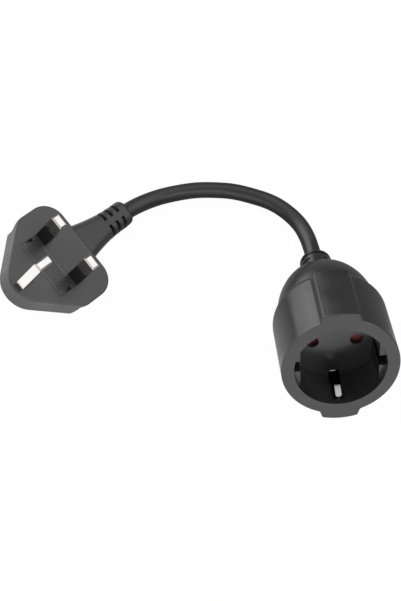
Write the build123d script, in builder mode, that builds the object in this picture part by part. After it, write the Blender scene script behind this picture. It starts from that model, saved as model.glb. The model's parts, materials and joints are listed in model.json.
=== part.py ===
"""Adapter lead: a moulded type G three-pin plug, a short round cable and a type F coupler socket.

Millimetres, +Z up. The lead lies on z = 0, with the socket mouth facing -Y and the pins facing up.
The plug has its own plane on its pin face: x towards the neutral pin, y towards the earth pin.
The socket has its own plane across its mouth: x along the contact holes, z out of the mouth.
"""

import os
from math import acos, atan2, cos, degrees, pi, radians, sin, sqrt, tan

from build123d import *

os.makedirs("parts", exist_ok=True)

# Where the two ends lie
plug_place = (-63.25, 2.88)
plug_across = Vector(-0.7601, 0.5461, 0.3522)
plug_facing = Vector(0.3971, -0.0386, 0.9170)
socket_place = (63.53, -33.88)
socket_across = Vector(0.9638, 0.2393, 0.1173)
socket_facing = Vector(0.1744, -0.8992, 0.4013)

# Plug pins, as the standard gives them
pin_spacing = 22.23
earth_offset = 22.23
live_pin_width = 6.35
live_pin_thickness = 4.0
live_pin_length = 17.7
earth_pin_width = 4.0
earth_pin_depth = 8.0
earth_pin_length = 22.7
pin_tip_chamfer = 0.7
sleeve_length = 9.5
sleeve_wall = 0.5
pin_clearance = 0.05

# Plug body
plug_half_width = 24.1
plug_cable_edge = 15.3
plug_shoulder = 5.3
plug_apex = 35.5
plug_corner_round = 9.8
plug_shoulder_round = 8.0
plug_nose_round = 12.4
flange_depth = 9.2
flange_flare = 0.4
body_depth = 18.0
back_half_width = 13.0
back_cable_edge = 12.0
back_shoulder = 4.0
back_apex = 26.0
back_corner_round = 6.0
back_shoulder_round = 6.0
back_nose_round = 8.0
back_edge_round = 4.0
back_corner_saving = 1.11
face_edge_round = 0.7
grip_radius = 7.0
grip_stand_off = 4.4
grip_depth = 6.6
grip_length = 12.0
grip_centre = 1.0

# Boot where the cable leaves the plug
boot_axis_depth = 7.2
boot_root = 12.0
boot_root_width = 21.0
boot_height = 12.6
boot_waist = 28.0
boot_waist_width = 14.0
boot_end = 47.2
boot_end_width = 12.2
boot_corner_round = 4.2
boot_end_round = 2.0
boot_slot_width = 1.8
boot_slot_depth = 2.2
boot_slot_first = 32.6
boot_slot_pitch = 4.25
boot_slot_count = 3
boot_spine = 2.8

# Hard bridge inside the plug
face_skin = 1.6
bridge_bottom = 9.8
bridge_half_width = 15.6
bridge_cable_edge = 5.0
bridge_far_edge = 14.2
bridge_tongue_width = 8.0
bridge_tongue_edge = 27.2
bridge_tongue_bottom = 6.2
bridge_clearance = 0.05

# Fuse and its carrier
fuse_line = 7.2
carrier_length = 28.0
carrier_width = 9.7
carrier_thickness = 2.2
carrier_gap = 0.15
carrier_cheek_length = 10.0
carrier_cheek_wall = 0.8
carrier_cheek_depth = 6.4
carrier_notch_width = 3.6
carrier_notch_depth = 1.2
carrier_rib_height = 0.25
carrier_rib_width = 0.5
carrier_rib_pitch = 1.2
carrier_rib_count = 6
fuse_diameter = 6.35
fuse_length = 25.4
fuse_cap_length = 6.0
fuse_cap_wall = 0.35
fuse_clearance = 0.1
clip_wall = 0.5
clip_length = 5.0
clip_arm_height = 5.2
clip_place = 10.0
clip_tail_width = 3.0

# Cable and its cores
cable_diameter = 7.6
cable_clearance = 0.08
cable_inside = 12.0
boot_reach = 8.0
collar_reach = 7.0
core_diameter = 2.6
core_offset = 1.75
core_bend = 2.2
core_clearance = 0.1
plug_core_level = 12.2
core_turn = 19.9
core_under = 9.0
line_core_way = 0.5
neutral_core_way = 7.0
earth_core_way = -6.0
line_core_inset = 1.3
earth_core_inset = 2.2
core_start = 4.5
earth_core_start = 7.0
core_spread = 53.0

# Socket housing
barrel_radius = 25.0
barrel_length = 31.5
barrel_round = 5.0
rim_round = 0.6
rim_notch_width = 3.0
rim_notch_depth = 0.6
land_rise = 2.8
land_half_width = 7.2
land_root_half_width = 9.9
land_root_round = 1.6
land_edge_round = 0.9
dome_inset = 2.8
dome_reach = 30.2
collar_radius = 7.3
collar_end = 78.0
collar_end_round = 1.2
collar_slot_width = 1.1
collar_slot_root = 5.0
collar_slot_pitch = 3.6
collar_slot_count = 3
collar_slot_first = 75.4
collar_bridge_width = 6.2

# Recess for the round plug
recess_radius = 19.6
recess_depth = 18.5
guide_front = 3.0
guide_flat = 16.6
guide_notch = 5.2
face_plate_thickness = 2.5
face_plate_clearance = 0.12
face_plate_notch = 3.3
contact_spacing = 19.0
contact_hole = 5.6

# Inside the socket
cavity_radius = 16.5
cavity_end = 47.5
shutter_gap = 0.3
shutter_thickness = 2.0
shutter_lobe = 3.6
shutter_hub = 4.6
shutter_arm_width = 5.0
pivot_radius = 2.0
pivot_fit = 0.06
spring_wire = 0.5
spring_radius = 2.95
spring_pitch = 0.9
spring_turns = 4
spring_pocket_radius = 3.6
carrier_fit = 0.1
carrier_back = 43.0
carrier_skirt = 1.6
contact_outer = 7.2
contact_bore = 4.9
contact_fit = 0.05
contact_slit = 0.8
contact_slit_length = 12.0
contact_wall = 2.0
contact_tail_diameter = 3.6
contact_tail_end = 47.0
strap_thickness = 0.8
strap_width = 2.5
strap_leg = 15.6
strap_outer = 20.8
strap_bend = 1.4
strap_corner = 0.5
strap_tip_round = 1.0
finger_root = 15.0
finger_crest = 17.0
finger_level = 9.0
finger_tip = 19.2
finger_front = 4.2
earth_slot_width = 4.6
earth_slot_front = 3.3
earth_slot_end = 27.0
earth_slot_radius = 22.6

# Places worked out from the sizes
plug_across_up = plug_across.Z
plug_facing_up = plug_facing.Z
plug_along_up = sqrt(1 - plug_across_up**2 - plug_facing_up**2)
back_corner = Vector(back_half_width, back_cable_edge, body_depth)
plug_height = back_corner.dot(Vector(plug_across_up, plug_along_up, plug_facing_up)) - back_corner_saving
socket_lean = socket_facing.Z
land_radius = barrel_radius + land_rise
socket_height = land_radius * sqrt(1 - socket_lean**2) + barrel_length * socket_lean

plug = Plane(origin=(*plug_place, plug_height), x_dir=plug_across, z_dir=plug_facing)
socket = Plane(origin=(*socket_place, socket_height), x_dir=socket_across, z_dir=socket_facing)
socket_section = Plane(origin=socket.origin, x_dir=socket.x_dir, z_dir=-socket.y_dir)
socket_upright = Plane(origin=socket.origin, x_dir=socket.y_dir, z_dir=socket.x_dir)
plug_axis = Axis(plug.origin, plug.z_dir)
socket_axis = Axis(socket.origin, socket.z_dir)

nose_angle = atan2(plug_half_width, plug_apex - plug_shoulder)
boot_heading = -plug.y_dir
collar_heading = -socket.z_dir
boot_mouth = plug.from_local_coords((0, -boot_end, -boot_axis_depth))
collar_mouth = socket.from_local_coords((0, 0, -collar_end))
fuse_depth = carrier_thickness + fuse_clearance + fuse_diameter / 2
shank_width = live_pin_width - 2 * sleeve_wall
shank_thickness = live_pin_thickness - 2 * sleeve_wall
carrier_rib_length = carrier_length - 4 * carrier_notch_depth
clip_floor = fuse_depth + fuse_diameter / 2 + fuse_clearance
contact_place = contact_spacing / 2
shutter_top = recess_depth + face_plate_thickness + shutter_gap
carrier_top = shutter_top + shutter_thickness + shutter_gap
dome_radius = barrel_radius - dome_inset
dome_start = barrel_length + sqrt(barrel_round**2 - (barrel_round - dome_inset) ** 2)
dome_end_angle = degrees(acos(collar_radius / dome_radius))
dome_end = dome_start + dome_reach * sin(radians(dome_end_angle))
shoulder_turn = degrees(acos((barrel_round - dome_inset) / barrel_round))
strap_line = carrier_back + strap_thickness / 2
contact_bore_end = carrier_back - contact_wall
core_corner = core_offset * cos(radians(30))
core_drop = core_offset * sin(radians(30))


def five_sided(plane, half_width, cable_edge, shoulder, apex, corner_round, shoulder_round, nose_round):
    """Plug outline: a straight cable edge, two straight sides and a tapered round nose."""
    with BuildSketch(plane) as outline:
        with BuildLine():
            FilletPolyline(
                (-half_width, -cable_edge),
                (half_width, -cable_edge),
                (half_width, shoulder),
                (0, apex),
                (-half_width, shoulder),
                radius=[corner_round, corner_round, shoulder_round, nose_round, shoulder_round],
                close=True,
            )
        make_face()
    return outline.sketch


def flange_outline(depth, grow):
    """The plug's face outline at a depth, grown evenly on every side."""
    half_width = plug_half_width + grow
    apex = plug_apex + grow / sin(nose_angle)
    return five_sided(
        plug.offset(-depth),
        half_width,
        plug_cable_edge + grow,
        apex - half_width / tan(nose_angle),
        apex,
        plug_corner_round + grow,
        plug_shoulder_round + grow,
        plug_nose_round + grow,
    )


def boot_plane(reach):
    """Plane across the boot, at a distance from the line and neutral pins."""
    return Plane(
        origin=plug.from_local_coords((0, -reach, -boot_axis_depth)),
        x_dir=plug.x_dir,
        z_dir=boot_heading,
    )


def boot_section(reach, width, height, corner_round):
    """Rounded section of the boot."""
    with BuildSketch(boot_plane(reach)) as section:
        RectangleRounded(width, height, corner_round)
    return section.sketch


def round_tube(points, bends, radius):
    """Solid round tube along straight runs joined by arcs."""
    with BuildPart() as tube:
        with BuildLine() as route:
            FilletPolyline(*points, radius=bends)
        with BuildSketch(Plane(origin=route.line @ 0, z_dir=route.line % 0)):
            Circle(radius)
        sweep()
    return tube.part


def recess_outline(plane, clearance):
    """Round recess with two guide flats, each with a notch in its middle."""
    across = 2 * (guide_flat - clearance) + recess_radius
    along = guide_notch - 2 * clearance + recess_radius
    with BuildSketch(plane) as outline:
        Circle(recess_radius - clearance)
        with GridLocations(across, along, 2, 2):
            Rectangle(recess_radius, recess_radius, mode=Mode.SUBTRACT)
    return outline.sketch


def bridge_block(clearance):
    """The bridge's outer shape: a wide block with a shallower tongue to the earth pin."""
    width = 2 * (bridge_half_width + clearance)
    length = bridge_far_edge + bridge_cable_edge + 2 * clearance
    with BuildPart() as block:
        with BuildSketch(plug.offset(-bridge_bottom)):
            with Locations((0, (bridge_far_edge - bridge_cable_edge) / 2)):
                Rectangle(width, length)
        extrude(amount=bridge_bottom - face_skin)
        with BuildSketch(plug.offset(-bridge_tongue_bottom)):
            with Locations((0, bridge_tongue_edge / 2)):
                Rectangle(bridge_tongue_width + 2 * clearance, bridge_tongue_edge + 2 * clearance)
        extrude(amount=bridge_tongue_bottom - face_skin)
    return block.part


# Routes of the cores: from the cut end of the jacket to their terminals
jacket_in_plug = boot_end - cable_inside
jacket_in_socket = collar_end - cable_inside
low_core = -boot_axis_depth - core_drop
high_core = -boot_axis_depth + core_offset
load_terminal = (clip_place - line_core_inset, fuse_line)
earth_terminal = (0, earth_offset - earth_core_inset)
plug_core_points = {
    "plug_line_core": [
        (0, -jacket_in_plug, high_core),
        (0, -core_turn, high_core),
        (line_core_way, -core_under, -plug_core_level),
        (*load_terminal, -plug_core_level),
        (*load_terminal, -bridge_bottom),
    ],
    "plug_neutral_core": [
        (core_corner, -jacket_in_plug, low_core),
        (core_corner, -core_turn, low_core),
        (neutral_core_way, -core_under, -plug_core_level),
        (pin_spacing / 2, 0, -plug_core_level),
        (pin_spacing / 2, 0, -bridge_bottom),
    ],
    "plug_earth_core": [
        (-core_corner, -jacket_in_plug, low_core),
        (-core_corner, -core_turn, low_core),
        (earth_core_way, -core_under, -plug_core_level),
        (*earth_terminal, -plug_core_level),
        (*earth_terminal, -bridge_tongue_bottom),
    ],
}
strap_base = carrier_back + strap_thickness
socket_core_points = {
    "socket_line_core": [
        (-core_corner, -core_drop, -jacket_in_socket),
        (-core_corner, -core_drop, -jacket_in_socket + core_start),
        (-contact_place, 0, -core_spread),
        (-contact_place, 0, -contact_tail_end),
    ],
    "socket_neutral_core": [
        (core_corner, -core_drop, -jacket_in_socket),
        (core_corner, -core_drop, -jacket_in_socket + core_start),
        (contact_place, 0, -core_spread),
        (contact_place, 0, -contact_tail_end),
    ],
    "socket_earth_core": [
        (0, core_offset, -jacket_in_socket),
        (0, core_offset, -jacket_in_socket + earth_core_start),
        (0, 0, -core_spread),
        (0, 0, -strap_base),
    ],
}
core_routes = {}
for core_name, points in plug_core_points.items():
    core_routes[core_name] = [plug.from_local_coords(point) for point in points]
for core_name, points in socket_core_points.items():
    core_routes[core_name] = [socket.from_local_coords(point) for point in points]

# Cable route: the two ends follow the boot and the collar, the points between lie on the surface
cable_points = [
    boot_mouth - boot_heading * cable_inside,
    boot_mouth + boot_heading * boot_reach,
    Vector(-22.3, 60.9, 3.9),
    Vector(-1.9, 69.1, 3.9),
    Vector(19.0, 69.4, 3.9),
    Vector(37.4, 59.9, 3.9),
    collar_mouth + collar_heading * collar_reach,
    collar_mouth - collar_heading * cable_inside,
]
run_share = 0.45
cable_runs = [(b - a).length for a, b in zip(cable_points, cable_points[1:])]
cable_bends = []
for index in range(1, len(cable_points) - 1):
    before = cable_points[index] - cable_points[index - 1]
    after = cable_points[index + 1] - cable_points[index]
    half_turn = radians(before.get_angle(after)) / 2
    cable_bends.append(run_share * min(before.length, after.length) / tan(half_turn))
print("cable runs", [round(run, 1) for run in cable_runs])
print("cable bend radii", [round(bend, 1) for bend in cable_bends])

# Cable, from inside the boot to inside the collar
with BuildPart() as cable:
    add(round_tube(cable_points, cable_bends, cable_diameter / 2))
cable.part.label = "cable"
export_step(cable.part, "parts/cable.step")
with BuildLine() as cable_route:
    FilletPolyline(*cable_points, radius=cable_bends)
cable_length = cable_route.wires()[0].length
cable_share = cable.part.volume / (cable_length * pi * (cable_diameter / 2) ** 2)
print("cable length", round(cable_length, 1), "volume over section times length", round(cable_share, 4))

# Boot: a rounded taper with cross slots either side of a plain spine
with BuildPart() as boot:
    loft(
        [
            boot_section(boot_root, boot_root_width, boot_height, boot_corner_round),
            boot_section(boot_waist, boot_waist_width, boot_height, boot_corner_round),
            boot_section(boot_end, boot_end_width, boot_end_width, boot_corner_round),
        ]
    )
    fillet(boot.faces().sort_by(Axis(plug.origin, boot_heading))[-1].edges(), boot_end_round)
    slot_root = boot_end_width - 2 * boot_slot_depth
    for index in range(boot_slot_count):
        slot_start = boot_slot_first + index * boot_slot_pitch - boot_slot_width / 2
        with BuildSketch(boot_plane(slot_start)):
            Rectangle(2 * boot_root_width, 2 * boot_height)
            RectangleRounded(slot_root, slot_root, boot_corner_round - boot_slot_depth, mode=Mode.SUBTRACT)
            Rectangle(boot_spine, 2 * boot_height, mode=Mode.SUBTRACT)
        extrude(amount=boot_slot_width, mode=Mode.SUBTRACT)

# Finger grips: a round-ended hollow along each side of the plug
with BuildPart(plug) as finger_grips:
    grip_x = plug_half_width + grip_stand_off
    grip_ends = (grip_centre - grip_length / 2, grip_centre + grip_length / 2)
    with Locations((-grip_x, grip_centre, -grip_depth), (grip_x, grip_centre, -grip_depth)):
        Cylinder(grip_radius, grip_length, rotation=(90, 0, 0))
    with Locations([(side * grip_x, end, -grip_depth) for side in (-1, 1) for end in grip_ends]):
        Sphere(grip_radius)

# Plug body: flared flange, tapered back, finger grips and slotted boot, moulded as one
with BuildPart() as plug_body:
    flange_edge = flange_outline(flange_depth, flange_flare)
    loft([flange_outline(0, 0), flange_edge], ruled=True)
    back_outline = five_sided(
        plug.offset(-body_depth),
        back_half_width,
        back_cable_edge,
        back_shoulder,
        back_apex,
        back_corner_round,
        back_shoulder_round,
        back_nose_round,
    )
    loft([flange_edge, back_outline], ruled=True)
    level_faces = plug_body.faces().filter_by(plug_axis).sort_by(plug_axis)
    fillet(level_faces[0].edges(), back_edge_round)
    fillet(level_faces[-1].edges(), face_edge_round)
    add(finger_grips.part, mode=Mode.SUBTRACT)
    add(boot.part)
    with BuildSketch(boot_plane(boot_end)):
        Circle(cable_diameter / 2 + cable_clearance)
    extrude(amount=-cable_inside, mode=Mode.SUBTRACT)
    for core_name in plug_core_points:
        channel = round_tube(core_routes[core_name], core_bend, core_diameter / 2 + core_clearance)
        add(channel, mode=Mode.SUBTRACT)
    add(bridge_block(bridge_clearance), mode=Mode.SUBTRACT)
    with BuildSketch(plug):
        with Locations((-pin_spacing / 2, 0), (pin_spacing / 2, 0)):
            Rectangle(live_pin_width + 2 * pin_clearance, live_pin_thickness + 2 * pin_clearance)
        with Locations((0, earth_offset)):
            Rectangle(earth_pin_width + 2 * pin_clearance, earth_pin_depth + 2 * pin_clearance)
        with Locations((0, fuse_line)):
            Rectangle(carrier_length + 2 * carrier_gap, carrier_width + 2 * carrier_gap)
    extrude(amount=-face_skin, mode=Mode.SUBTRACT)
plug_body.part.label = "plug_body"
export_step(plug_body.part, "parts/plug_body.step")

# Bridge: the hard block that the pins and the fuse chamber are moulded in
with BuildPart() as pin_bridge:
    add(bridge_block(0))
    with BuildSketch(plug.offset(-bridge_bottom)):
        with Locations((pin_spacing / 2, 0)):
            Rectangle(shank_width + 2 * pin_clearance, shank_thickness + 2 * pin_clearance)
        with Locations((0, earth_offset)):
            Rectangle(earth_pin_width + 2 * pin_clearance, earth_pin_depth + 2 * pin_clearance)
        with Locations(load_terminal):
            Rectangle(clip_tail_width + 2 * pin_clearance, clip_tail_width + 2 * pin_clearance)
    extrude(amount=bridge_bottom, mode=Mode.SUBTRACT)
    with BuildSketch(plug.offset(-clip_floor)):
        with Locations((-pin_spacing / 2, 0)):
            Rectangle(shank_width + 2 * pin_clearance, shank_thickness + 2 * pin_clearance)
    extrude(amount=clip_floor, mode=Mode.SUBTRACT)
    with BuildSketch(plug.offset(-clip_floor - clip_wall)):
        with Locations((0, fuse_line)):
            Rectangle(carrier_length + 2 * carrier_gap, carrier_width + 2 * carrier_gap)
        with Locations((-clip_place, fuse_line / 2)):
            Rectangle(clip_tail_width + 2 * pin_clearance, fuse_line + shank_thickness + 2 * pin_clearance)
    extrude(amount=clip_wall, mode=Mode.SUBTRACT)
    with BuildSketch(plug.offset(-clip_floor)):
        with Locations((0, fuse_line)):
            Rectangle(carrier_length + 2 * carrier_gap, carrier_width + 2 * carrier_gap)
    extrude(amount=clip_floor, mode=Mode.SUBTRACT)
pin_bridge.part.label = "pin_bridge"
export_step(pin_bridge.part, "parts/pin_bridge.step")

# Line and neutral pins: a full-width tip on a thinner shank, which the sleeve covers flush
pin_feet = {"line": clip_floor, "neutral": bridge_bottom}
pin_places = {"line": -pin_spacing / 2, "neutral": pin_spacing / 2}
for pole, place in pin_places.items():
    with BuildPart() as live_pin:
        with BuildSketch(plug.offset(sleeve_length)):
            with Locations((place, 0)):
                Rectangle(live_pin_width, live_pin_thickness)
        extrude(amount=live_pin_length - sleeve_length)
        chamfer(live_pin.faces().sort_by(plug_axis)[-1].edges(), pin_tip_chamfer)
        with BuildSketch(plug.offset(-pin_feet[pole])):
            with Locations((place, 0)):
                Rectangle(shank_width, shank_thickness)
        extrude(amount=pin_feet[pole] + sleeve_length)
    live_pin.part.label = f"{pole}_pin"
    export_step(live_pin.part, f"parts/{pole}_pin.step")
    with BuildPart() as sleeve:
        with BuildSketch(plug.offset(-face_skin)):
            with Locations((place, 0)):
                Rectangle(live_pin_width, live_pin_thickness)
                Rectangle(shank_width, shank_thickness, mode=Mode.SUBTRACT)
        extrude(amount=face_skin + sleeve_length)
    sleeve.part.label = f"{pole}_pin_sleeve"
    export_step(sleeve.part, f"parts/{pole}_pin_sleeve.step")

# Earth pin: longer, set on edge and bare
with BuildPart() as earth_pin:
    with BuildSketch(plug.offset(-bridge_tongue_bottom)):
        with Locations((0, earth_offset)):
            Rectangle(earth_pin_width, earth_pin_depth)
    extrude(amount=bridge_tongue_bottom + earth_pin_length)
    chamfer(earth_pin.faces().sort_by(plug_axis)[-1].edges(), pin_tip_chamfer)
earth_pin.part.label = "earth_pin"
export_step(earth_pin.part, "parts/earth_pin.step")

# Fuse carrier: a ribbed cover with pry notches and two cheeks that grip the fuse
with BuildPart() as fuse_carrier:
    with BuildSketch(plug.offset(-carrier_thickness)):
        with Locations((0, fuse_line)):
            Rectangle(carrier_length, carrier_width)
    extrude(amount=carrier_thickness)
    with BuildSketch(plug):
        with Locations((-carrier_length / 2, fuse_line), (carrier_length / 2, fuse_line)):
            Rectangle(2 * carrier_notch_depth, carrier_notch_width)
    extrude(amount=-face_skin, mode=Mode.SUBTRACT)
    with BuildSketch(plug):
        with Locations((0, fuse_line)):
            with GridLocations(0, carrier_rib_pitch, 1, carrier_rib_count):
                Rectangle(carrier_rib_length, carrier_rib_width)
    extrude(amount=carrier_rib_height)
    cheek_place = (fuse_diameter + carrier_cheek_wall) / 2 + fuse_clearance
    with BuildSketch(plug.offset(-carrier_cheek_depth)):
        with Locations((0, fuse_line - cheek_place), (0, fuse_line + cheek_place)):
            Rectangle(carrier_cheek_length, carrier_cheek_wall)
    extrude(amount=carrier_cheek_depth)
fuse_carrier.part.label = "fuse_carrier"
export_step(fuse_carrier.part, "parts/fuse_carrier.step")

# Fuse: a ceramic tube with a cap pressed on each end
fuse_plane = Plane(
    origin=plug.from_local_coords((-fuse_length / 2, fuse_line, -fuse_depth)),
    x_dir=plug.y_dir,
    z_dir=plug.x_dir,
)
with BuildPart() as fuse_tube:
    with BuildSketch(fuse_plane.offset(fuse_cap_wall)):
        Circle(fuse_diameter / 2 - fuse_cap_wall)
    extrude(amount=fuse_length - 2 * fuse_cap_wall)
fuse_tube.part.label = "fuse_tube"
export_step(fuse_tube.part, "parts/fuse_tube.step")
with BuildPart() as fuse_caps:
    for start in (0, fuse_length - fuse_cap_length):
        with BuildSketch(fuse_plane.offset(start)):
            Circle(fuse_diameter / 2)
        extrude(amount=fuse_cap_length)
    with BuildSketch(fuse_plane.offset(fuse_cap_wall)):
        Circle(fuse_diameter / 2 - fuse_cap_wall)
    extrude(amount=fuse_length - 2 * fuse_cap_wall, mode=Mode.SUBTRACT)
fuse_caps.part.label = "fuse_caps"
export_step(fuse_caps.part, "parts/fuse_caps.step")

# Fuse clips: a spring channel at each end of the fuse, with a tail to the line pin or the line core
clip_inner = fuse_diameter + fuse_clearance
clip_outer = clip_inner + 2 * clip_wall
for clip_name, place in (("line_fuse_clip", -clip_place), ("load_fuse_clip", clip_place)):
    with BuildPart() as fuse_clip:
        with BuildSketch(plug.offset(-clip_floor - clip_wall)):
            with Locations((place, fuse_line)):
                Rectangle(clip_length, clip_outer)
        extrude(amount=clip_wall + clip_arm_height)
        with BuildSketch(plug.offset(-clip_floor)):
            with Locations((place, fuse_line)):
                Rectangle(clip_length, clip_inner)
        extrude(amount=clip_arm_height, mode=Mode.SUBTRACT)
        if place < 0:
            with BuildSketch(plug.offset(-clip_floor - clip_wall)):
                with Locations((place, fuse_line / 2)):
                    Rectangle(clip_tail_width, fuse_line + shank_thickness)
            extrude(amount=clip_wall)
        else:
            with BuildSketch(plug.offset(-bridge_bottom)):
                with Locations(load_terminal):
                    Rectangle(clip_tail_width, clip_tail_width)
            extrude(amount=bridge_bottom - clip_floor)
    fuse_clip.part.label = clip_name
    export_step(fuse_clip.part, f"parts/{clip_name}.step")

# Cores: three insulated wires at each end of the cable
for core_name, route in core_routes.items():
    with BuildPart() as core:
        add(round_tube(route, core_bend, core_diameter / 2))
    core.part.label = core_name
    export_step(core.part, f"parts/{core_name}.step")

# Socket housing: barrel with two lands, shoulder, dome and slotted collar, moulded as one
with BuildPart() as socket_housing:
    with BuildSketch(socket) as barrel_outline:
        Circle(barrel_radius)
        with BuildLine():
            Polyline(
                (-land_root_half_width, recess_radius),
                (land_root_half_width, recess_radius),
                (land_half_width, land_radius),
                (-land_half_width, land_radius),
                close=True,
            )
        make_face()
        mirror(about=Plane.XZ)
        Circle(land_radius, mode=Mode.INTERSECT)
        land_edges = barrel_outline.vertices().filter_by(lambda corner: abs(corner.Y) > barrel_radius)
        fillet(land_edges, land_edge_round)
        land_roots = barrel_outline.vertices()
        land_roots = land_roots.filter_by(lambda corner: land_half_width < abs(corner.Y) < barrel_radius)
        fillet(land_roots, land_root_round)
    extrude(amount=-barrel_length)
    fillet(socket_housing.faces().sort_by(socket_axis)[-1].edges(), rim_round)
    with BuildSketch(socket_section):
        with BuildLine():
            Line((0, -barrel_length), (barrel_radius, -barrel_length))
            CenterArc((barrel_radius - barrel_round, -barrel_length), barrel_round, 0, -shoulder_turn)
            EllipticalCenterArc(
                (0, -dome_start), dome_radius, dome_reach, start_angle=0, arc_size=-dome_end_angle
            )
            FilletPolyline(
                (collar_radius, -dome_end),
                (collar_radius, -collar_end),
                (0, -collar_end),
                radius=collar_end_round,
            )
            Line((0, -collar_end), (0, -barrel_length))
        make_face()
    revolve(axis=socket_axis)
    with BuildSketch(socket):
        Circle(recess_radius)
    extrude(amount=-guide_front, mode=Mode.SUBTRACT)
    extrude(recess_outline(socket, 0), amount=-recess_depth - face_plate_thickness, mode=Mode.SUBTRACT)
    with BuildSketch(socket):
        with Locations((0, recess_radius)):
            Rectangle(rim_notch_width, 2 * rim_notch_depth)
    extrude(amount=-earth_slot_front, mode=Mode.SUBTRACT)
    with BuildSketch(socket):
        Circle(cavity_radius)
    extrude(amount=-cavity_end, mode=Mode.SUBTRACT)
    with BuildSketch(socket.offset(-earth_slot_front)):
        Rectangle(earth_slot_width, 2 * earth_slot_radius)
    extrude(amount=earth_slot_front - earth_slot_end, mode=Mode.SUBTRACT)
    with BuildSketch(socket.offset(-collar_end)):
        Circle(cable_diameter / 2 + cable_clearance)
    extrude(amount=cable_inside, mode=Mode.SUBTRACT)
    for core_name in socket_core_points:
        channel = round_tube(core_routes[core_name], core_bend, core_diameter / 2 + core_clearance)
        add(channel, mode=Mode.SUBTRACT)
    for index in range(collar_slot_count):
        slot_level = collar_slot_first - index * collar_slot_pitch + collar_slot_width / 2
        bridge = [4 * collar_radius, collar_bridge_width]
        if index % 2:
            bridge.reverse()
        with BuildSketch(socket.offset(-slot_level)):
            Circle(collar_radius + collar_slot_width)
            Circle(collar_slot_root, mode=Mode.SUBTRACT)
            Rectangle(*bridge, mode=Mode.SUBTRACT)
        extrude(amount=collar_slot_width, mode=Mode.SUBTRACT)
socket_housing.part.label = "socket_housing"
export_step(socket_housing.part, "parts/socket_housing.step")

# Face plate: the floor of the recess, with the two contact holes and a notch for each earth finger
with BuildPart() as socket_face_plate:
    plate_outline = recess_outline(socket.offset(-recess_depth), face_plate_clearance)
    extrude(plate_outline, amount=-face_plate_thickness)
    with BuildSketch(socket.offset(-recess_depth)):
        with Locations((-contact_place, 0), (contact_place, 0)):
            Circle(contact_hole / 2)
        with Locations((0, -recess_radius), (0, recess_radius)):
            Rectangle(earth_slot_width, 2 * face_plate_notch)
    extrude(amount=-face_plate_thickness, mode=Mode.SUBTRACT)
socket_face_plate.part.label = "socket_face_plate"
export_step(socket_face_plate.part, "parts/socket_face_plate.step")

# Shutter: a bar that turns on a pivot and closes both contact holes
with BuildPart() as pin_shutter:
    with BuildSketch(socket.offset(-shutter_top)):
        Circle(shutter_hub)
        Rectangle(contact_spacing, shutter_arm_width)
        with Locations((-contact_place, 0), (contact_place, 0)):
            Circle(shutter_lobe)
        Circle(pivot_radius + pivot_fit, mode=Mode.SUBTRACT)
    extrude(amount=-shutter_thickness)
pin_shutter.part.label = "pin_shutter"
export_step(pin_shutter.part, "parts/pin_shutter.step")

# Return spring of the shutter, coiled round the root of its pivot
spring_seat = carrier_top + spring_pitch * spring_turns + 2 * spring_wire
spring_plane = socket.offset(-spring_seat + spring_wire)
with BuildPart() as shutter_spring:
    with BuildLine() as spring_coil:
        Helix(
            spring_pitch,
            spring_pitch * spring_turns,
            spring_radius,
            center=spring_plane.origin,
            direction=spring_plane.z_dir,
        )
    with BuildSketch(Plane(origin=spring_coil.line @ 0, z_dir=spring_coil.line % 0)):
        Circle(spring_wire / 2)
    sweep()
shutter_spring.part.label = "shutter_spring"
export_step(shutter_spring.part, "parts/shutter_spring.step")

# Contact carrier: the hard block that holds the contacts, the earth strap and the pivot
with BuildPart() as contact_carrier:
    with BuildSketch(socket.offset(-carrier_top)):
        Circle(cavity_radius - carrier_fit)
        earth_groove = strap_leg - strap_thickness / 2 - carrier_fit
        with Locations((0, 2 * earth_groove), (0, -2 * earth_groove)):
            Rectangle(strap_width + 4 * carrier_fit, 2 * earth_groove, mode=Mode.SUBTRACT)
    extrude(amount=carrier_top - cavity_end)
    with BuildSketch(socket.offset(-cavity_end)):
        Circle(cavity_radius - carrier_skirt)
        Rectangle(strap_width + 4 * carrier_fit, 2 * cavity_radius)
    extrude(amount=cavity_end - carrier_back, mode=Mode.SUBTRACT)
    with BuildSketch(socket.offset(-carrier_top)):
        with Locations((-contact_place, 0), (contact_place, 0)):
            Circle(contact_outer / 2 + contact_fit)
    extrude(amount=carrier_top - carrier_back, mode=Mode.SUBTRACT)
    with BuildSketch(socket.offset(-carrier_top)):
        Circle(spring_pocket_radius)
    extrude(amount=carrier_top - spring_seat, mode=Mode.SUBTRACT)
    with BuildSketch(socket.offset(-spring_seat)):
        Circle(pivot_radius)
    extrude(amount=spring_seat - recess_depth - face_plate_thickness)
contact_carrier.part.label = "contact_carrier"
export_step(contact_carrier.part, "parts/contact_carrier.step")

# Contacts: slit tubes that grip the round pins, each with a solid tail for its core
for pole, place in (("line", -contact_place), ("neutral", contact_place)):
    with BuildPart() as contact:
        with BuildSketch(socket.offset(-carrier_top)):
            with Locations((place, 0)):
                Circle(contact_outer / 2)
        extrude(amount=carrier_top - carrier_back)
        with BuildSketch(socket.offset(-carrier_top)):
            with Locations((place, 0)):
                Circle(contact_bore / 2)
        extrude(amount=carrier_top - contact_bore_end, mode=Mode.SUBTRACT)
        with BuildSketch(socket.offset(-carrier_top)):
            with Locations((place, 0)):
                Rectangle(contact_slit, 2 * contact_outer)
        extrude(amount=-contact_slit_length, mode=Mode.SUBTRACT)
        with BuildSketch(socket.offset(-carrier_back)):
            with Locations((place, 0)):
                Circle(contact_tail_diameter / 2)
        extrude(amount=carrier_back - contact_tail_end)
    contact.part.label = f"{pole}_contact"
    export_step(contact.part, f"parts/{pole}_contact.step")

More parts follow.
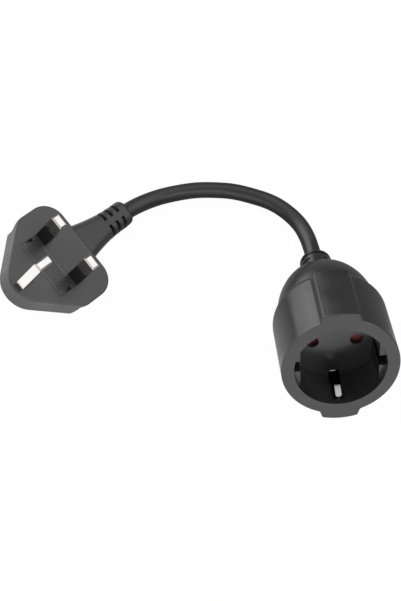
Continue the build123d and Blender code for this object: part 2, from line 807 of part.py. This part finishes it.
# Earth strap: a bent strip behind the carrier, with a sprung finger in each earth slot
finger = [
    (strap_leg, -strap_line),
    (strap_leg, -earth_slot_end + strap_thickness),
    (strap_outer, -recess_depth - face_plate_thickness - 2 * strap_thickness),
    (strap_outer, -finger_root),
    (finger_crest, -finger_level),
    (finger_tip, -finger_front),
]
with BuildPart() as earth_strap:
    with BuildSketch(socket_upright):
        with BuildLine():
            FilletPolyline(
                *[(-across, level) for across, level in reversed(finger)],
                *finger,
                radius=[strap_bend] * 4 + [strap_corner] * 2 + [strap_bend] * 4,
            )
        trace(line_width=strap_thickness)
    extrude(amount=strap_width / 2, both=True)
    finger_ends = earth_strap.faces().sort_by(socket_axis)[-2:]
    fillet(finger_ends.edges().sort_by(SortBy.LENGTH)[:4], strap_tip_round)
earth_strap.part.label = "earth_strap"
export_step(earth_strap.part, "parts/earth_strap.step")
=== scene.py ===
"""Looks of the adapter lead: camera, cable, finishes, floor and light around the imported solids."""

import json
from math import cos, radians, tau

import bpy
from mathutils import Matrix, Vector


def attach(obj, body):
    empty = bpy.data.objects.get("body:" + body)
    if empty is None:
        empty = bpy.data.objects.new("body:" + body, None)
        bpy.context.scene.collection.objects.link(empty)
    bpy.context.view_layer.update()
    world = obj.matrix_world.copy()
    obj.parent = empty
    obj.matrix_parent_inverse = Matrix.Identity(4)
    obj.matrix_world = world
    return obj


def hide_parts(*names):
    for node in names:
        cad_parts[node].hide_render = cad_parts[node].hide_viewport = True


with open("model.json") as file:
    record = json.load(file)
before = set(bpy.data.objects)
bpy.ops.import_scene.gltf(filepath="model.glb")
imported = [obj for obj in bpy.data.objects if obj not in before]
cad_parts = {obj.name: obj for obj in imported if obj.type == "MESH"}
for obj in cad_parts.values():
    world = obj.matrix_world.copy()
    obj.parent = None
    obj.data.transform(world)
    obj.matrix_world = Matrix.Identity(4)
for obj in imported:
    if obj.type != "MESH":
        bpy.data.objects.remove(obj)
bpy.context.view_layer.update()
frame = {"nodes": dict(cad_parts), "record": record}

# Camera, at the photograph's viewing angle; the sensor spans the picture's longer side, its height
image_height = 601
focal_pixels = 1298
sensor_width = 36.0
camera_place = Vector((-0.000396, -0.296254, 0.508620))
camera_right = Vector((0.98198, 0.16146, 0.09949))
camera_up = Vector((-0.18965, 0.84291, 0.50374))

# Cable: its sizes, and its route's points from inside the boot to inside the collar, in metres
cable_diameter = 0.0076
cable_route = [
    (-0.04800, 0.03261, 0.00902),
    (-0.03983, 0.04591, 0.00604),
    (-0.03001, 0.05588, 0.00390),
    (-0.01741, 0.06303, 0.00390),
    (-0.00523, 0.06721, 0.00390),
    (0.00863, 0.06929, 0.00390),
    (0.02864, 0.06675, 0.00390),
    (0.04277, 0.05604, 0.00390),
    (0.04923, 0.03985, 0.00520),
    (0.05202, 0.02547, 0.01162),
]
route_steps = 24
jacket_sides = 64
jacket_step = 0.0006
core_count = 3
core_lay = 0.055
core_ripple = 0.00004

# Places that a finish keeps to: the plug's pin face, and the ends of the earth fingers, which carry a
# painted highlight
plug_facing = Vector((0.3971, -0.0386, 0.9170))
pin_face_middle = Vector((-0.06325, 0.00288, 0.02223))
pin_face_depth = 0.0006
pin_face_level = pin_face_middle.dot(plug_facing) - pin_face_depth
socket_facing = Vector((0.1744, -0.8992, 0.4013))
socket_mouth = Vector((0.06349, -0.03374, 0.03651))
finger_end_depth = 0.0086
finger_end_level = socket_mouth.dot(socket_facing) - finger_end_depth
level_edge = 0.0003

# Moulded plastic: noise scales per metre, the part of a noise that shows, and the relief's depth in metres
grain_scale = 6000.0
grain_detail = 2.0
drift_scale = 90.0
drift_detail = 4.0
drift_range = (0.3, 0.7)
moulded_shine = 0.75
moulded_relief = 0.000012
moulded_bump = 0.5
off_face_rough = 0.10

# Marks of handling: smudges change the gloss, and scratches lighten the plastic
smudge_scale = 55.0
smudge_detail = 3.0
smudge_range = (0.35, 0.65)
smudge_rough = (-0.05, 0.06)
scratch_scale = 260.0
scratch_detail = 1.0
scratch_range = (0.66, 0.74)
scratch_turn = (0.4, 0.9, 0.7)
scratch_stretch = (1.0, 14.0, 9.0)
scuff_lift = 1.6
scuff_share = 0.35

# Metal: its drawing lines, and its own scales of the marks
drawing_scale = 400.0
drawing_detail = 2.0
drawing_turn = (0.2, -0.4, 0.5)
drawing_stretch = (22.0, 22.0, 1.0)
drawing_relief = 0.000004
drawing_bump = 0.4
metal_smudge = 180.0
metal_scratch = 700.0
worn_rough = 0.12
# Rough gloss of the painted highlight on the finger ends, so that it gathers light broadly
painted_highlight_rough = 0.80

# Cable jacket: its extrusion streaks, drawn out along a length of cable, and its grain
streak_length = 0.15
streak_stretch = 3.0
streak_scale = 40.0
streak_detail = 3.0
streak_rough = (-0.05, 0.10)
jacket_grain = 7000.0

# Room: its shade, and its soft lights as (direction, inner and outer half width in degrees, brightness)
room_shade = 0.16
room_lights = [
    ((-0.84, 0.40, 0.40), 32.0, 40.0, 2.10),
    ((-0.55, -0.80, 0.15), 10.0, 50.0, 0.60),
    ((0.25, -0.90, 0.35), 10.0, 46.0, 1.20),
    ((0.75, -0.35, 0.56), 10.0, 48.0, 1.10),
    ((0.53, 0.44, 0.72), 14.0, 32.0, 1.15),
    ((-0.35, 0.30, 0.89), 15.0, 48.0, 0.80),
]

# Floor: its tone, and the painted light that reflections see on it, growing bright as (direction, start,
# end) from the origin
floor_half = 3.0
floor_white = 0.90
floor_glow = 0.97
floor_left = (-1.0, -0.30, 0.0), 0.022, 0.044
floor_front = (0.0, -1.0, 0.0), -0.045, 0.110
# Painted light in reflections: its dark and bright levels, and the share of it that glows
floor_painted_light = (0.22, 1.20)
mirror_glow = 0.70
plain_white = (1.0, 1.0, 1.0, 1.0)


def add_camera():
    """Camera placed by its own right and up directions."""
    data = bpy.data.cameras.new("photo_camera")
    data.sensor_width = sensor_width
    data.lens = focal_pixels * sensor_width / image_height
    camera = bpy.data.objects.new("photo_camera", data)
    bpy.context.scene.collection.objects.link(camera)
    turn = Matrix((camera_right, camera_up, camera_right.cross(camera_up))).transposed()
    camera.matrix_world = Matrix.Translation(camera_place) @ turn.to_4x4()
    bpy.context.scene.camera = camera


class Tree:
    """A node tree with short calls to add, set and link its nodes."""

    def __init__(self, tree):
        self.tree = tree

    def add(self, kind, inputs=(), **settings):
        """Adds a node: its settings, then its inputs, each a socket to link or a value."""
        node = self.tree.nodes.new(kind)
        for name, value in settings.items():
            setattr(node, name, value)
        for name, value in dict(inputs).items():
            self.feed(node.inputs[name], value)
        return node

    def feed(self, socket, value):
        """Links a socket into another, or sets a value on it."""
        if isinstance(value, bpy.types.NodeSocket):
            self.tree.links.new(value, socket)
        else:
            socket.default_value = value

    def maths(self, operation, *values):
        """Works out a value from one or two others."""
        return self.add("ShaderNodeMath", dict(enumerate(values)), operation=operation).outputs[0]

    def vector(self, operation, **inputs):
        """Node that works on vectors: First and Second, or First and Scale."""
        places = {"First": 0, "Second": 1, "Scale": "Scale"}
        named = {places[name]: value for name, value in inputs.items()}
        return self.add("ShaderNodeVectorMath", named, operation=operation).outputs

    def span(self, value, low, high, start=0.0, end=1.0, ease="LINEAR"):
        """Maps a value from start..end to low..high, kept inside that range."""
        inputs = {"Value": value, "From Min": start, "From Max": end, "To Min": low, "To Max": high}
        return self.add("ShaderNodeMapRange", inputs, interpolation_type=ease).outputs["Result"]

    def reach(self, place, direction):
        """How far a place lies along a direction."""
        return self.vector("DOT_PRODUCT", First=place, Second=direction)["Value"]

    def beyond(self, place, direction, start, end):
        """Mask of how far a place lies along a direction: 0 up to start, 1 from end on."""
        return self.span(self.reach(place, direction), 0.0, 1.0, start, end)

    def blend(self, share, first, second):
        """Mixes two colours by a share."""
        return self.add("ShaderNodeMix", {0: share, 6: first, 7: second}, data_type="RGBA").outputs[2]

    def noise(self, place, scale, detail):
        """Noise of a scale and a detail over a place."""
        inputs = {"Vector": place, "Scale": scale, "Detail": detail}
        return self.add("ShaderNodeTexNoise", inputs).outputs[0]

    def stretched(self, place, turn, stretch):
        """A place turned and stretched, so that a noise on it becomes lines."""
        inputs = {"Vector": place, "Rotation": turn, "Scale": stretch}
        return self.add("ShaderNodeMapping", inputs).outputs[0]

    def bump(self, height, relief, strength):
        """Normal of a fine relief."""
        inputs = {"Height": height, "Distance": relief, "Strength": strength}
        return self.add("ShaderNodeBump", inputs).outputs[0]

    def object_place(self):
        """The place on the object itself."""
        return self.add("ShaderNodeTexCoord").outputs["Object"]


def new_group(name, kind, inputs, outputs):
    """Node group with named sockets; gives its tree and its two end nodes."""
    group = bpy.data.node_groups.new(name, kind)
    for socket_name, socket_type, value in inputs:
        socket = group.interface.new_socket(socket_name, in_out="INPUT", socket_type=socket_type)
        if value is not None:
            socket.default_value = value
    for socket_name, socket_type in outputs:
        group.interface.new_socket(socket_name, in_out="OUTPUT", socket_type=socket_type)
    tree = Tree(group)
    return tree, tree.add("NodeGroupInput"), tree.add("NodeGroupOutput")


def keep_on_points(tree, curve, name, value):
    """Keeps a value on a curve's points, for the finish to read."""
    inputs = {"Geometry": curve, "Name": name, "Value": value}
    store = tree.add("GeometryNodeStoreNamedAttribute", inputs, data_type="FLOAT", domain="POINT")
    return store.outputs[0]


def jacket_tree():
    """Geometry nodes of the cable: a round jacket along its route, with the faint lay of its cores."""
    inputs = [
        ("Geometry", "NodeSocketGeometry", None),
        ("Diameter", "NodeSocketFloat", cable_diameter),
        ("Lay Length", "NodeSocketFloat", core_lay),
        ("Ripple", "NodeSocketFloat", core_ripple),
        ("Step", "NodeSocketFloat", jacket_step),
        ("Jacket", "NodeSocketMaterial", None),
    ]
    outputs = [("Geometry", "NodeSocketGeometry")]
    tree, given, made = new_group("cable_jacket", "GeometryNodeTree", inputs, outputs)
    size = given.outputs
    spline = {"Curve": size["Geometry"], "Length": size["Step"]}
    even = tree.add("GeometryNodeResampleCurve", spline, mode="LENGTH").outputs["Curve"]
    place = tree.add("GeometryNodeSplineParameter").outputs
    turns = tree.maths("DIVIDE", place["Length"], size["Lay Length"])
    twist = tree.maths("MULTIPLY", turns, tau)
    laid = tree.add("GeometryNodeSetCurveTilt", {"Curve": even, "Tilt": twist}).outputs["Curve"]
    along = keep_on_points(tree, laid, "along", place["Length"])
    radius = tree.maths("DIVIDE", size["Diameter"], 2.0)
    ring = tree.add("GeometryNodeCurvePrimitiveCircle", {"Resolution": jacket_sides, "Radius": radius})
    around = keep_on_points(tree, ring.outputs["Curve"], "around", place["Factor"])
    lobes = tree.maths("MULTIPLY", place["Factor"], core_count * tau)
    rise = tree.maths("MULTIPLY", tree.maths("COSINE", lobes), size["Ripple"])
    spot = tree.add("GeometryNodeInputPosition").outputs[0]
    outward = tree.vector("NORMALIZE", First=spot)[0]
    lift = tree.vector("SCALE", First=outward, Scale=rise)[0]
    lobed = tree.add("GeometryNodeSetPosition", {"Geometry": around, "Offset": lift}).outputs[0]
    sweep = {"Curve": along, "Profile Curve": lobed, "Fill Caps": True}
    tube = tree.add("GeometryNodeCurveToMesh", sweep).outputs["Mesh"]
    real = tree.add("GeometryNodeRealizeInstances", {"Geometry": tube}).outputs[0]
    smooth = tree.add("GeometryNodeSetShadeSmooth", {"Geometry": real}).outputs[0]
    finish = tree.add("GeometryNodeSetMaterial", {"Geometry": smooth, "Material": size["Jacket"]})
    tree.feed(made.inputs["Geometry"], finish.outputs[0])
    return tree.tree


def plain_mesh(shape):
    """The evaluated shape as a plain mesh."""
    graph = bpy.context.evaluated_depsgraph_get()
    return bpy.data.meshes.new_from_object(shape.evaluated_get(graph))


def add_cable(jacket):
    """Cable along the route's spline, in place of its plain solid."""
    data = bpy.data.curves.new("cable_route", "CURVE")
    data.dimensions = "3D"
    data.resolution_u = route_steps
    spline = data.splines.new("NURBS")
    spline.points.add(len(cable_route) - 1)
    for point, place in zip(spline.points, cable_route):
        point.co = (*place, 1.0)
    spline.order_u = 3
    spline.use_endpoint_u = True
    route = bpy.data.objects.new("cable_route", data)
    bpy.context.scene.collection.objects.link(route)
    centreline = [vertex.co.copy() for vertex in plain_mesh(route).vertices]
    cover = route.modifiers.new("jacket", "NODES")
    cover.node_group = jacket_tree()
    sockets = cover.node_group.interface.items_tree
    given = {socket.name: socket.identifier for socket in sockets if socket.in_out == "INPUT"}
    cover[given["Diameter"]] = cable_diameter
    cover[given["Lay Length"]] = core_lay
    cover[given["Ripple"]] = core_ripple
    cover[given["Step"]] = jacket_step
    cover[given["Jacket"]] = jacket
    cable = bpy.data.objects.new("cable_jacket", plain_mesh(route))
    bpy.context.scene.collection.objects.link(cable)
    bpy.data.objects.remove(route)
    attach(cable, "lead")
    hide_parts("cable")


def grain_group():
    """Fine grain of a moulded surface: its height, and a slow change of tone."""
    inputs = [("Grain", "NodeSocketFloat", grain_scale), ("Drift", "NodeSocketFloat", drift_scale)]
    outputs = [("Height", "NodeSocketFloat"), ("Tone", "NodeSocketFloat")]
    tree, given, made = new_group("moulding_grain", "ShaderNodeTree", inputs, outputs)
    size = given.outputs
    place = tree.object_place()
    fine = tree.noise(place, size["Grain"], grain_detail)
    pits = tree.add("ShaderNodeTexVoronoi", {"Vector": place, "Scale": size["Grain"]})
    drift = tree.noise(place, size["Drift"], drift_detail)
    tree.feed(made.inputs["Height"], tree.maths("ADD", fine, pits.outputs["Distance"]))
    tree.feed(made.inputs["Tone"], tree.span(drift, 0.0, 1.0, *drift_range))
    return tree.tree


def marks_group():
    """Marks of handling: soft smudges and fine scratches, each as a mask."""
    inputs = [
        ("Smudge Size", "NodeSocketFloat", smudge_scale),
        ("Scratch Size", "NodeSocketFloat", scratch_scale),
    ]
    outputs = [("Smudge", "NodeSocketFloat"), ("Scratch", "NodeSocketFloat")]
    tree, given, made = new_group("handling_marks", "ShaderNodeTree", inputs, outputs)
    size = given.outputs
    place = tree.object_place()
    smudge = tree.noise(place, size["Smudge Size"], smudge_detail)
    drawn_out = tree.stretched(place, scratch_turn, scratch_stretch)
    scratch = tree.noise(drawn_out, size["Scratch Size"], scratch_detail)
    tree.feed(made.inputs["Smudge"], tree.span(smudge, 0.0, 1.0, *smudge_range))
    tree.feed(made.inputs["Scratch"], tree.span(scratch, 0.0, 1.0, *scratch_range))
    return tree.tree


grain = grain_group()
marks = marks_group()


def new_material(name):
    """Empty material; gives it with its tree and its surface shader."""
    material = bpy.data.materials.new(name)
    material.use_nodes = True
    return material, Tree(material.node_tree), material.node_tree.nodes["Principled BSDF"]


def effect(tree, group, **sizes):
    """Places a shared effect in a material with its own sizes."""
    node = tree.add("ShaderNodeGroup", node_tree=group)
    for name, value in sizes.items():
        node.inputs[name.replace("_", " ")].default_value = value
    return node.outputs


def moulded(
    name, dark, light, rough,
    shine=moulded_shine, grain_size=grain_scale, relief=moulded_relief, pin_face=None,
):
    """Moulded plastic: two close tones, smudges in its gloss and a grain; a pin face has its own tone."""
    material, tree, surface = new_material(name)
    texture = effect(tree, grain, Grain=grain_size)
    wear = effect(tree, marks)
    tone = tree.blend(texture["Tone"], (*dark, 1.0), (*light, 1.0))
    if pin_face:
        place = tree.object_place()
        on_face = tree.beyond(place, plug_facing, pin_face_level, pin_face_level + level_edge)
        tone = tree.blend(on_face, tone, (*pin_face, 1.0))
        rough = tree.span(on_face, rough + off_face_rough, rough)
    scuffed = tuple(min(1.0, channel * scuff_lift) for channel in light)
    scuff = tree.span(wear["Scratch"], 0.0, scuff_share)
    tree.feed(surface.inputs["Base Color"], tree.blend(scuff, tone, (*scuffed, 1.0)))
    uneven = tree.span(wear["Smudge"], *smudge_rough)
    tree.feed(surface.inputs["Roughness"], tree.maths("ADD", uneven, rough))
    surface.inputs["Specular IOR Level"].default_value = shine
    tree.feed(surface.inputs["Normal"], tree.bump(texture["Height"], relief, moulded_bump))
    return material


def plated(name, bright, dull, rough, painted_highlight=None):
    """Plated or drawn metal: fine lines, dull patches and scratches; finger ends may carry a painted
    highlight.
    """
    material, tree, surface = new_material(name)
    wear = effect(tree, marks, Smudge_Size=metal_smudge, Scratch_Size=metal_scratch)
    place = tree.object_place()
    drawn_out = tree.stretched(place, drawing_turn, drawing_stretch)
    lines = tree.noise(drawn_out, drawing_scale, drawing_detail)
    tone = tree.blend(wear["Smudge"], (*bright, 1.0), (*dull, 1.0))
    worn = tree.maths("MAXIMUM", wear["Smudge"], wear["Scratch"])
    gloss = tree.span(worn, rough, rough + worn_rough)
    # Painted highlight: the finger ends get a near-white colour and a broad gloss that stand in for light
    if painted_highlight:
        on_end = tree.beyond(place, socket_facing, finger_end_level, finger_end_level + level_edge)
        tone = tree.blend(on_end, tone, (*painted_highlight, 1.0))
        gloss = tree.span(on_end, gloss, painted_highlight_rough)
    tree.feed(surface.inputs["Base Color"], tone)
    surface.inputs["Metallic"].default_value = 1.0
    tree.feed(surface.inputs["Roughness"], gloss)
    tree.feed(surface.inputs["Normal"], tree.bump(lines, drawing_relief, drawing_bump))
    return material


def extruded_jacket(name, dark, light, rough):
    """Cable jacket: extrusion streaks along the cable over a faint grain."""
    material, tree, surface = new_material(name)
    along = tree.add("ShaderNodeAttribute", attribute_name="along").outputs["Fac"]
    around = tree.add("ShaderNodeAttribute", attribute_name="around").outputs["Fac"]
    drawn_out = tree.span(along, 0.0, streak_stretch, 0.0, streak_length)
    place = tree.add("ShaderNodeCombineXYZ", {"X": drawn_out, "Y": around}).outputs[0]
    streaks = tree.noise(place, streak_scale, streak_detail)
    texture = effect(tree, grain, Grain=jacket_grain)
    wear = effect(tree, marks)
    tone = tree.blend(texture["Tone"], (*dark, 1.0), (*light, 1.0))
    tree.feed(surface.inputs["Base Color"], tone)
    smooth, dull = (rough + change for change in streak_rough)
    gloss = tree.span(tree.maths("MULTIPLY", streaks, wear["Smudge"]), smooth, dull)
    tree.feed(surface.inputs["Roughness"], gloss)
    height = tree.maths("ADD", streaks, texture["Height"])
    tree.feed(surface.inputs["Normal"], tree.bump(height, moulded_relief, moulded_bump))
    return material


finishes = {
    "black_pvc": moulded(
        "black_pvc", (0.014, 0.014, 0.015), (0.019, 0.019, 0.020), rough=0.25,
        shine=0.72, grain_size=2200.0, relief=0.000030,
    ),
    "plug_pvc": moulded(
        "plug_pvc", (0.014, 0.014, 0.015), (0.019, 0.019, 0.020), rough=0.36,
        pin_face=(0.024, 0.024, 0.025),
    ),
    "cable_jacket": extruded_jacket(
        "cable_jacket", (0.014, 0.014, 0.015), (0.020, 0.020, 0.021), rough=0.32,
    ),
    "black_nylon": moulded(
        "black_nylon", (0.010, 0.010, 0.011), (0.014, 0.014, 0.015), rough=0.24, grain_size=4200.0,
    ),
    "sleeve_black": moulded(
        "sleeve_black", (0.006, 0.006, 0.006), (0.010, 0.010, 0.009), rough=0.36, shine=0.4,
    ),
    "carrier_black": moulded("carrier_black", (0.026, 0.026, 0.027), (0.032, 0.032, 0.033), rough=0.33),
    "shutter_red": moulded("shutter_red", (0.115, 0.010, 0.012), (0.155, 0.015, 0.017), rough=0.34),
    "nickel_plate": plated("nickel_plate", (0.76, 0.75, 0.73), (0.70, 0.69, 0.67), rough=0.07),
    # Earth fingers: nickel darker than the pins as painted shade in the recess, with a painted highlight on
    # their ends
    "finger_nickel_painted_light": plated(
        "finger_nickel_painted_light", (0.55, 0.54, 0.52), (0.48, 0.47, 0.45), rough=0.10, painted_highlight=(0.97, 0.97, 0.96),
    ),
    "contact_brass": plated("contact_brass", (0.80, 0.60, 0.28), (0.68, 0.49, 0.22), rough=0.22),
    "spring_steel": plated("spring_steel", (0.62, 0.62, 0.63), (0.50, 0.50, 0.52), rough=0.24),
    "fuse_ceramic": moulded(
        "fuse_ceramic", (0.74, 0.71, 0.64), (0.80, 0.78, 0.72), rough=0.22, grain_size=2500.0,
    ),
    "core_brown": moulded("core_brown", (0.140, 0.055, 0.024), (0.170, 0.070, 0.032), rough=0.34),
    "core_blue": moulded("core_blue", (0.016, 0.105, 0.360), (0.024, 0.140, 0.430), rough=0.34),
    "core_green": moulded("core_green", (0.045, 0.280, 0.065), (0.070, 0.350, 0.090), rough=0.34),
}

# Nodes that have a finish of their own, and not their slot's
own_finishes = {"plug_body": "plug_pvc", "earth_strap": "finger_nickel_painted_light"}


def dress_nodes():
    """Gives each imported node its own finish, or else the finish of its slot."""
    for subpart in frame["record"]["subparts"]:
        finish = own_finishes.get(subpart["node"], subpart["material_slot"])
        for slot in frame["nodes"][subpart["node"]].material_slots:
            slot.material = finishes[finish]


def room_group():
    """How bright the room is in a direction: a shade with wide soft lights in it."""
    inputs = [("Direction", "NodeSocketVector", None)]
    outputs = [("Brightness", "NodeSocketFloat")]
    tree, given, made = new_group("room_brightness", "ShaderNodeTree", inputs, outputs)
    way = tree.vector("NORMALIZE", First=given.outputs["Direction"])[0]
    total = room_shade
    for toward, inner, outer, brightness in room_lights:
        near = tree.reach(way, Vector(toward).normalized())
        glow = tree.span(near, 0.0, brightness, cos(radians(outer)), cos(radians(inner)), "SMOOTHSTEP")
        total = tree.maths("ADD", total, glow)
    tree.feed(made.inputs["Brightness"], total)
    return tree.tree


room = room_group()


def add_floor():
    """White floor that keeps a soft shadow; in reflections it shows painted light that fades into the dark
    behind the part.
    """
    corners = [(-1, -1), (1, -1), (1, 1), (-1, 1)]
    mesh = bpy.data.meshes.new("floor")
    mesh.from_pydata([(x * floor_half, y * floor_half, 0.0) for x, y in corners], [], [(0, 1, 2, 3)])
    floor = bpy.data.objects.new("floor", mesh)
    bpy.context.scene.collection.objects.link(floor)
    material = bpy.data.materials.new("white_floor")
    material.use_nodes = True
    tree = Tree(material.node_tree)
    tree.tree.nodes.clear()
    path = tree.add("ShaderNodeLightPath").outputs
    place = tree.object_place()
    # Painted light on the floor, seen only in reflections: bright to the left and front, dark behind the
    # part
    left, front = (tree.beyond(place, *fade) for fade in (floor_left, floor_front))
    painted_light = tree.span(tree.maths("MAXIMUM", left, front), *floor_painted_light)
    tone = tree.add("ShaderNodeMix", {2: floor_white, 3: painted_light, 0: path["Is Glossy Ray"]}).outputs[0]
    matte = tree.add("ShaderNodeBsdfDiffuse", {"Color": tone}).outputs[0]
    painted_glow = tree.add("ShaderNodeEmission", {"Strength": painted_light}).outputs[0]
    white = tree.add("ShaderNodeEmission", {"Strength": 1.0}).outputs[0]
    in_mirror = tree.span(path["Is Glossy Ray"], 0.0, mirror_glow)
    to_part = tree.add("ShaderNodeMixShader", {0: in_mirror, 1: matte, 2: painted_glow}).outputs[0]
    seen = tree.span(path["Is Camera Ray"], 0.0, floor_glow)
    plain = tree.add("ShaderNodeMixShader", {0: seen, 1: to_part, 2: white}).outputs[0]
    tree.add("ShaderNodeOutputMaterial", {"Surface": plain})
    mesh.materials.append(material)


def add_world():
    """Room: plain white to the camera, and soft lights in a shade to the part."""
    world = bpy.data.worlds.new("studio_room")
    bpy.context.scene.world = world
    world.use_nodes = True
    tree = Tree(world.node_tree)
    tree.tree.nodes.clear()
    around = tree.add("ShaderNodeGroup", node_tree=room)
    tree.feed(around.inputs["Direction"], tree.add("ShaderNodeTexCoord").outputs["Generated"])
    lights = {"Color": plain_white, "Strength": around.outputs["Brightness"]}
    light = tree.add("ShaderNodeBackground", lights).outputs[0]
    white = tree.add("ShaderNodeBackground", {"Color": plain_white, "Strength": 1.0}).outputs[0]
    seen = tree.add("ShaderNodeLightPath").outputs["Is Camera Ray"]
    mix = tree.add("ShaderNodeMixShader", {0: seen, 1: light, 2: white}).outputs[0]
    tree.add("ShaderNodeOutputWorld", {"Surface": mix})


add_camera()
add_cable(finishes["cable_jacket"])
dress_nodes()
add_floor()
add_world()
bpy.context.scene.view_settings.view_transform = "Standard"
